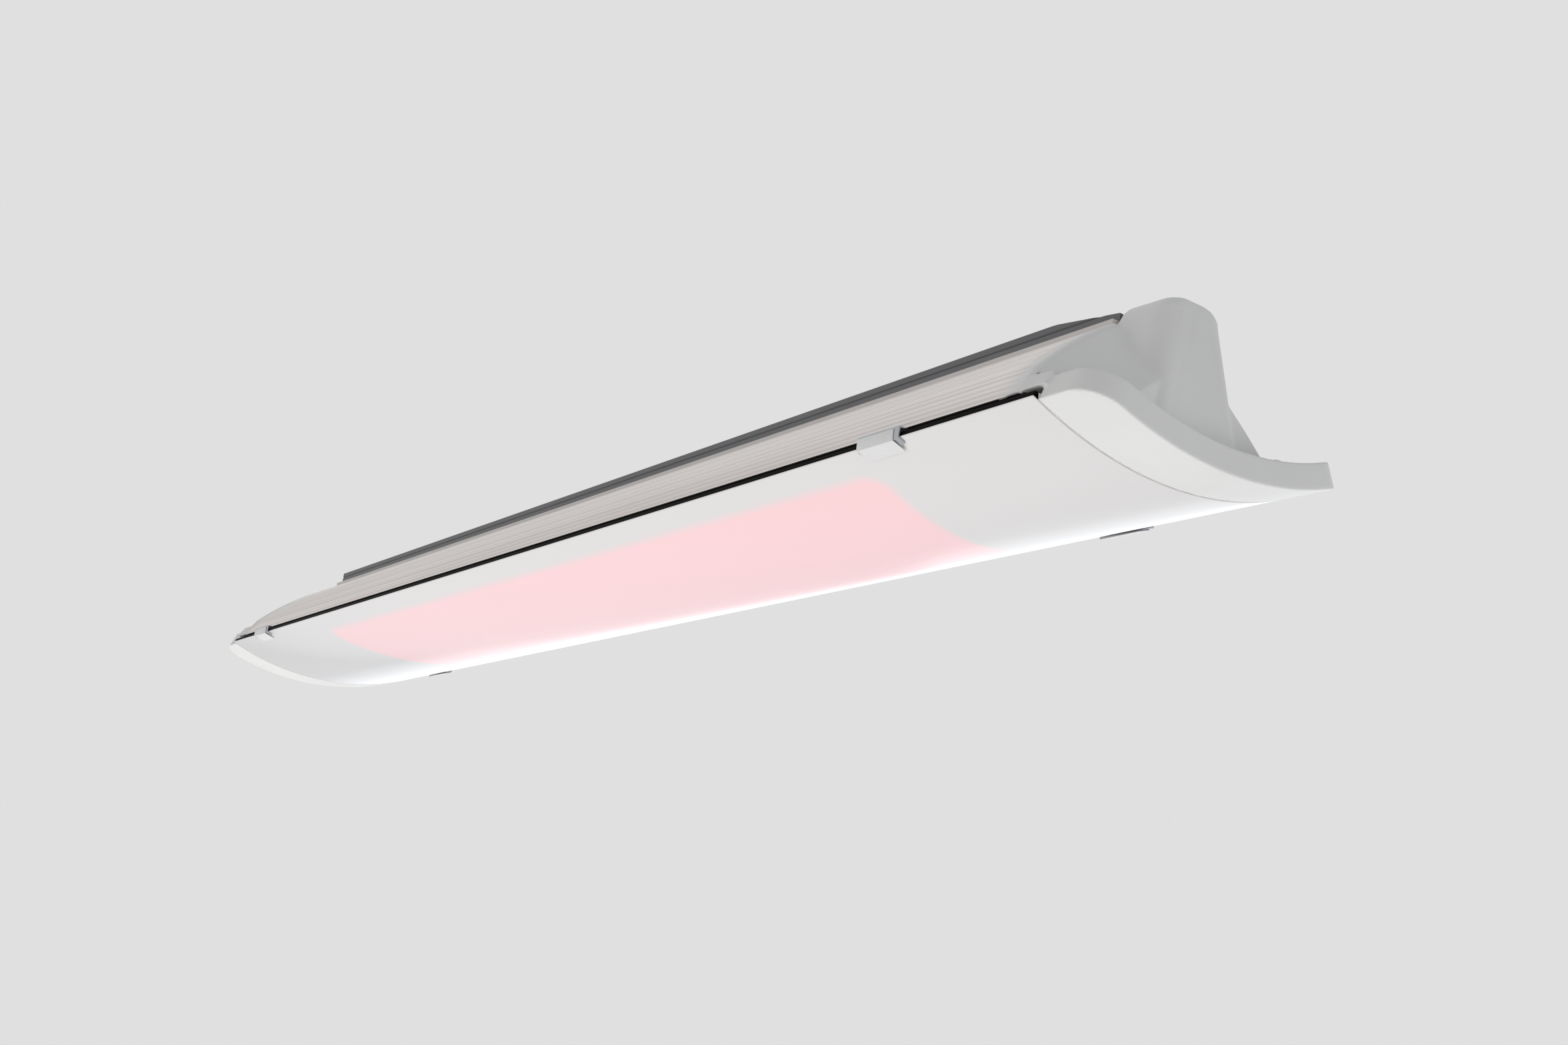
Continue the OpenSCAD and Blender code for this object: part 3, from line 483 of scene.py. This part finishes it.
farCap = {"edge": 0.0009, "segments": 3, "limit": 38, "smooth": 32}

# the pads reach up into the slot
clipPads = {"rise": 0.003, "top": -0.0746, "edge": 0.0009, "segments": 3, "limit": 38, "smooth": 32}


def raisePads(piece):
    for point in piece.data.vertices:
        if point.co.z > clipPads["top"]:
            point.co.z += clipPads["rise"]


# each bare hook is shorter than the lip under its pad
clipHook = {"shorter": 0.0042, "lip": 0.008, "lipTop": -0.0755, "endSlack": 0.0001,
            "edge": 0.0003, "segments": 3, "limit": 38, "smooth": 32}


def shortenHook(piece):
    hookEnd = max(point.co.x for point in piece.data.vertices)
    for point in piece.data.vertices:
        if point.co.x > hookEnd - clipHook["endSlack"] and point.co.z < clipHook["lipTop"]:
            out = math.hypot(point.co.y, point.co.z - axisHeight)
            share = min((glassHigh.y - min(abs(point.co.y), glassHigh.y)) / clipHook["lip"], 1)
            point.co.y = math.copysign(abs(point.co.y) + clipHook["shorter"] * share, point.co.y)
            point.co.z = axisHeight - math.sqrt(out * out - point.co.y ** 2)


# the blend that sweeps the hump's sides out into the shoulder, in millimetres, with heights above the
# glass edges
humpBlend = {
    "front": 579.8, "lean": 0.04, "back": 547.3, "halfWidth": 37.4, "draft": 0.217,
    "corner": 13, "cornerTop": 7, "cornerShare": 0.95,
    "roundFrom": 66, "round": 11, "roundFront": 0.35, "dropMost": 0.999,
    "crown": 62, "flare": 19, "flareTop": 4, "flareFall": 16,
    "levels": (-6, 8, 20, 30, 40, 48, 55, 61, 66, 70, 73, 75, 76.8),
    "arc": 8, "sweep": 10,
}


def blendRing(height):
    hump = humpBlend
    drop = min(max((height - hump["roundFrom"]) / hump["round"], 0), hump["dropMost"])
    fall = hump["round"] * (1 - math.sqrt(1 - drop * drop))
    half = hump["halfWidth"] - hump["draft"] * height - fall
    front = hump["front"] - hump["lean"] * height - fall * hump["roundFront"]
    corner = min(hump["corner"] + (hump["cornerTop"] - hump["corner"]) * drop, half * hump["cornerShare"])
    level = min(max(height / hump["crown"], 0), 1)
    above = max(height - hump["crown"], 0) / hump["flareFall"]
    flare = hump["flare"] * (1 - level * level) + hump["flareTop"] * (1 - above)
    side = []
    for count in range(hump["arc"] + 1):
        angle = math.pi / 2 * count / hump["arc"]
        side.append((front - corner + corner * math.cos(angle), half - corner + corner * math.sin(angle)))
    for count in range(1, hump["sweep"] + 1):
        share = count / hump["sweep"]
        along = front - corner - (front - corner - hump["back"]) * share
        side.append((along, half + flare * share * share))
    whole = side + [(along, -across) for along, across in reversed(side)]
    return [fromEdges(along, across, height) for along, across in whole]


def makeBlend():
    rings = [blendRing(height) for height in humpBlend["levels"]]
    bpy.ops.object.select_all(action="DESELECT")
    bpy.ops.mesh.primitive_circle_add(vertices=len(rings[0]), fill_type="NGON")
    piece = bpy.context.object
    piece.name = "humpBlend"
    for point, place in zip(piece.data.vertices, rings[0]):
        point.co = place
    lift = (0, 0, 0.001)  # any small step, because each new level is then laid on its ring
    for ring in rings[1:]:
        count = len(piece.data.vertices)
        bpy.ops.object.mode_set(mode="EDIT")
        bpy.ops.mesh.extrude_region_move(TRANSFORM_OT_translate={"value": lift})
        bpy.ops.object.mode_set(mode="OBJECT")
        for point, place in zip(piece.data.vertices[count:], ring):
            point.co = place
    bpy.ops.object.mode_set(mode="EDIT")
    bpy.ops.mesh.select_all(action="SELECT")
    bpy.ops.mesh.normals_make_consistent(inside=False)
    bpy.ops.object.mode_set(mode="OBJECT")
    return piece


# where the screws through the caps lie, to each side and above the origin
capScrews = {"across": 0.0805, "height": -0.0643}


def addRod(rod, end, side):
    bpy.ops.object.select_all(action="DESELECT")
    bpy.ops.mesh.primitive_cylinder_add(
        vertices=rod["facets"], radius=rod["radius"], depth=rod["to"] - rod["from"],
        location=(end * (rod["from"] + rod["to"]) / 2, side * capScrews["across"], capScrews["height"]),
        rotation=(0, end * math.pi / 2, 0))
    applyPlace()
    return bpy.context.object


# solid foot round each screw, because the wall above its hole is thinner than the remesh keeps
screwFoot = {"radius": 0.0048, "from": 0.5512, "to": 0.5652, "facets": 32}

# remeshed with its blend and feet, then smoothed all over, and more so in two zones. The zones and
# their ramp are in millimetres, with heights above the glass edges
nearCap = {
    "voxel": 0.0009, "soften": 3, "flow": 70, "evenness": 0.5, "ramp": 5,
    "zones": [{"low": (549, -70, 9), "high": (577, 70, 69)}, {"low": (552, 64, 5), "high": (569, 95, 26)}],
}


def zoneShare(place, zone):
    spot = (place.x * 1000, abs(place.y) * 1000, place.z * 1000 + railHeight)
    share = 1
    for value, low, high in zip(spot, zone["low"], zone["high"]):
        share *= min(max(min(value - low, high - value) / nearCap["ramp"], 0), 1)
    return share


def smooth(piece, name, times, group=""):
    even = piece.modifiers.new(name, "SMOOTH")
    even.factor = nearCap["evenness"]
    even.iterations = times
    even.vertex_group = group


def makeNearCap():
    piece = copyNode("near_end_cap", "nearCap")
    solids = [makeBlend()] + [addRod(screwFoot, 1, side) for side in (1, -1)]
    only(piece)
    for solid in solids:
        solid.select_set(True)
    bpy.ops.object.join()
    shell = piece.modifiers.new("shell", "REMESH")
    shell.mode = "VOXEL"
    shell.voxel_size = nearCap["voxel"]
    smooth(piece, "soften", nearCap["soften"])
    applyAll(piece)
    sweep = piece.vertex_groups.new(name="sweep")
    for point in piece.data.vertices:
        share = max(zoneShare(point.co, zone) for zone in nearCap["zones"])
        if share > 0:
            sweep.add([point.index], share, "REPLACE")
    smooth(piece, "flow", nearCap["flow"], "sweep")
    applyAll(piece)
    piece.vertex_groups.clear()
    bpy.ops.object.shade_smooth()
    settle(piece, "cap_paint", "near_end_cap")
    print("near cap faces:", len(piece.data.polygons))


# domed plugs that close the holes over the caps' screws
screwPlug = {"radius": 0.0037, "from": 0.556, "to": 0.5666, "facets": 40,
             "edge": 0.0012, "segments": 4, "limit": 50, "smooth": 35}


def makePlug(name, end, side):
    piece = addRod(screwPlug, end, side)
    piece.name = name
    roundEdges(piece, screwPlug)
    settle(piece, "cap_paint")


# skins that rise out of the ribbed side, so that the ribs run out into the caps' shoulders, in
# millimetres
ribFade = {
    "skirt": (92, 6), "knee": (81, 22.5), "brow": (30, 61.8), "bulge": 2,
    "start": 534, "hold": 2, "seam": 547, "end": 551.5, "tuckFrom": 0.2, "tuck": 0.4,
    "under": -0.45, "over": 0.74, "round": 2.7, "slope": 1.185,
    "along": 20, "across": 26, "wall": 0.8, "smooth": 30,
}


def fadeOut(along):
    fade = ribFade
    full = fade["seam"] - fade["hold"]
    if along < full:
        share = (along - fade["start"]) / (full - fade["start"])
        return fade["under"] + (fade["over"] - fade["under"]) * share * share * (3 - 2 * share)
    fall = math.hypot(fade["round"], fade["slope"] * max(along - fade["seam"], 0)) - fade["round"]
    return fade["over"] - fall - (fade["tuck"] if along > fade["end"] - fade["tuckFrom"] else 0)


def fadePoint(along, share, side):  # straight from skirt to knee, then an arc from knee to brow
    fade = ribFade
    skirt, knee, brow = (Vector(fade[k]) for k in ("skirt", "knee", "brow"))
    straight = (knee - skirt).length
    chord = brow - knee
    outward = Vector((chord.y, -chord.x)).normalized()
    radius = chord.length ** 2 / (8 * fade["bulge"]) + fade["bulge"] / 2
    half = math.asin(chord.length / 2 / radius)
    centre = (knee + brow) / 2 - outward * (radius - fade["bulge"])
    run = share * (straight + 2 * half * radius)
    if run < straight:
        way = (knee - skirt).normalized()
        place = skirt + way * run
        normal = Vector((way.y, -way.x))
    else:
        turned = (run - straight) / radius - half
        normal = Vector((outward.x * math.cos(turned) - outward.y * math.sin(turned),
                         outward.x * math.sin(turned) + outward.y * math.cos(turned)))
        place = centre + normal * radius
    place = place + normal * fadeOut(along)
    return fromEdges(along, side * place.x, place.y)


def makeFade(name, end, side):
    fade = ribFade
    bpy.ops.object.select_all(action="DESELECT")
    bpy.ops.mesh.primitive_grid_add(x_subdivisions=fade["along"], y_subdivisions=fade["across"], size=2)
    piece = bpy.context.object
    piece.name = name
    for point in piece.data.vertices:
        along = fade["start"] + (fade["end"] - fade["start"]) * (point.co.x + 1) / 2
        place = fadePoint(along, (point.co.y + 1) / 2, side)
        point.co = (place[0] * end, place[1], place[2])
    piece.data.update()
    if piece.data.polygons[0].normal.y * side < 0:
        bpy.ops.object.mode_set(mode="EDIT")
        bpy.ops.mesh.select_all(action="SELECT")
        bpy.ops.mesh.flip_normals()
        bpy.ops.object.mode_set(mode="OBJECT")
    giveWall(piece, fade["wall"] / 1000)
    applyAll(piece)
    bpy.ops.object.shade_smooth_by_angle(angle=math.radians(fade["smooth"]))
    settle(piece, "anodised")


makeGlass()
print("glass front made")
makeNearCap()
softCopy("far_end_cap", "farCap", "cap_paint", farCap)
print("end caps made")
softCopy("clip_covers", "clipPads", "white_cover", clipPads, raisePads)
for end in ("near", "far"):
    for side in ("left", "right"):
        name = end + side.title() + "Hook"
        softCopy(end + "_" + side + "_clip", name, "clip_steel", clipHook, shortenHook)
print("clip pads and hooks made")
for endName, end in (("Near", 1), ("Far", -1)):
    for sideName, side in (("Right", 1), ("Left", -1)):
        makePlug("plug" + endName + sideName, end, side)
print("screw plugs made")
for endName, end in (("near", 1), ("far", -1)):
    for sideName, side in (("Left", -1), ("Right", 1)):
        makeFade(endName + sideName + "Fade", end, side)
print("rib ends made")

# studio
studio = {
    "background": (0.745, 0.745, 0.745), "fill": (0.3528, 0.3564, 0.3672), "aim": (0.1, 0, -0.06),
    "lamps": [
        {"name": "lowSoftbox", "place": (-0.7, -0.1, -2.3), "size": (4.4, 3.0), "power": 63,
         "tone": (1.0, 0.99, 0.98), "mirrored": False},
        {"name": "frontSoftbox", "place": (2.4, 1.1, -0.9), "size": (1.8, 1.8), "power": 16,
         "tone": (1.0, 1.0, 1.0), "mirrored": False},
        {"name": "leftSoftbox", "place": (0.4, -2.4, -0.9), "size": (1.8, 1.8), "power": 17,
         "tone": (1.0, 0.975, 0.94), "mirrored": False},
        {"name": "rightSoftbox", "place": (-2.45, 2.1, 0.42), "size": (3.4, 1.1), "power": 13,
         "tone": (0.88, 0.94, 1.0), "mirrored": True},
        {"name": "gleamSoftbox", "place": (-1.6, 2.5, -0.45), "size": (0.9, 0.9), "power": 1.5,
         "tone": (0.85, 0.93, 1.0), "mirrored": True},
        {"name": "topSoftbox", "place": (0.0, 0.3, 2.4), "size": (2.6, 2.2), "power": 6.5,
         "tone": (0.95, 0.97, 1.0), "mirrored": True},
    ],
}


def addLamp(spec):
    aim = (Vector(studio["aim"]) - Vector(spec["place"])).to_track_quat("-Z", "Y").to_euler()
    bpy.ops.object.light_add(type="AREA", location=spec["place"], rotation=aim)
    lamp = bpy.context.object
    lamp.name = spec["name"]
    lamp.data.shape = "RECTANGLE"
    lamp.data.size, lamp.data.size_y = spec["size"]
    lamp.data.energy = spec["power"]
    lamp.data.color = spec["tone"]
    lamp.visible_camera = False
    lamp.visible_glossy = spec["mirrored"]


for spec in studio["lamps"]:
    addLamp(spec)

world = bpy.data.worlds.new("studio")
bpy.context.scene.world = world
world.use_nodes = True
sky = Nodes(world.node_tree, "Background")
seen = sky.rays("Is Camera Ray", "Is Transmission Ray", "Is Glossy Ray")
sky.feed("Color", sky.tint(seen, studio["fill"], studio["background"]))

paleFloor = {"size": 40, "drop": 2.6, "glow": 0.42, "rough": 0.9, "tone": (0.76, 0.76, 0.76),
             "second": (0.74, 0.74, 0.74), "patches": 0.8}
bpy.ops.object.select_all(action="DESELECT")
bpy.ops.mesh.primitive_plane_add(size=paleFloor["size"], location=(0, 0, -paleFloor["drop"]))
floor = bpy.context.object
floor.name = "floor"
paint = Finish("floorPaint", {"Roughness": paleFloor["rough"], "Emission Strength": paleFloor["glow"]})
patches = paint.noise(paleFloor["patches"], detail=2)
paint.feed("Base Color", paint.tint(patches, paleFloor["tone"], paleFloor["second"]))
paint.feed("Emission Color", paint.tint(paint.rays("Is Camera Ray", "Is Glossy Ray"), (0, 0, 0), (1, 1, 1)))
floor.data.materials.append(paint.material)
print("studio set")
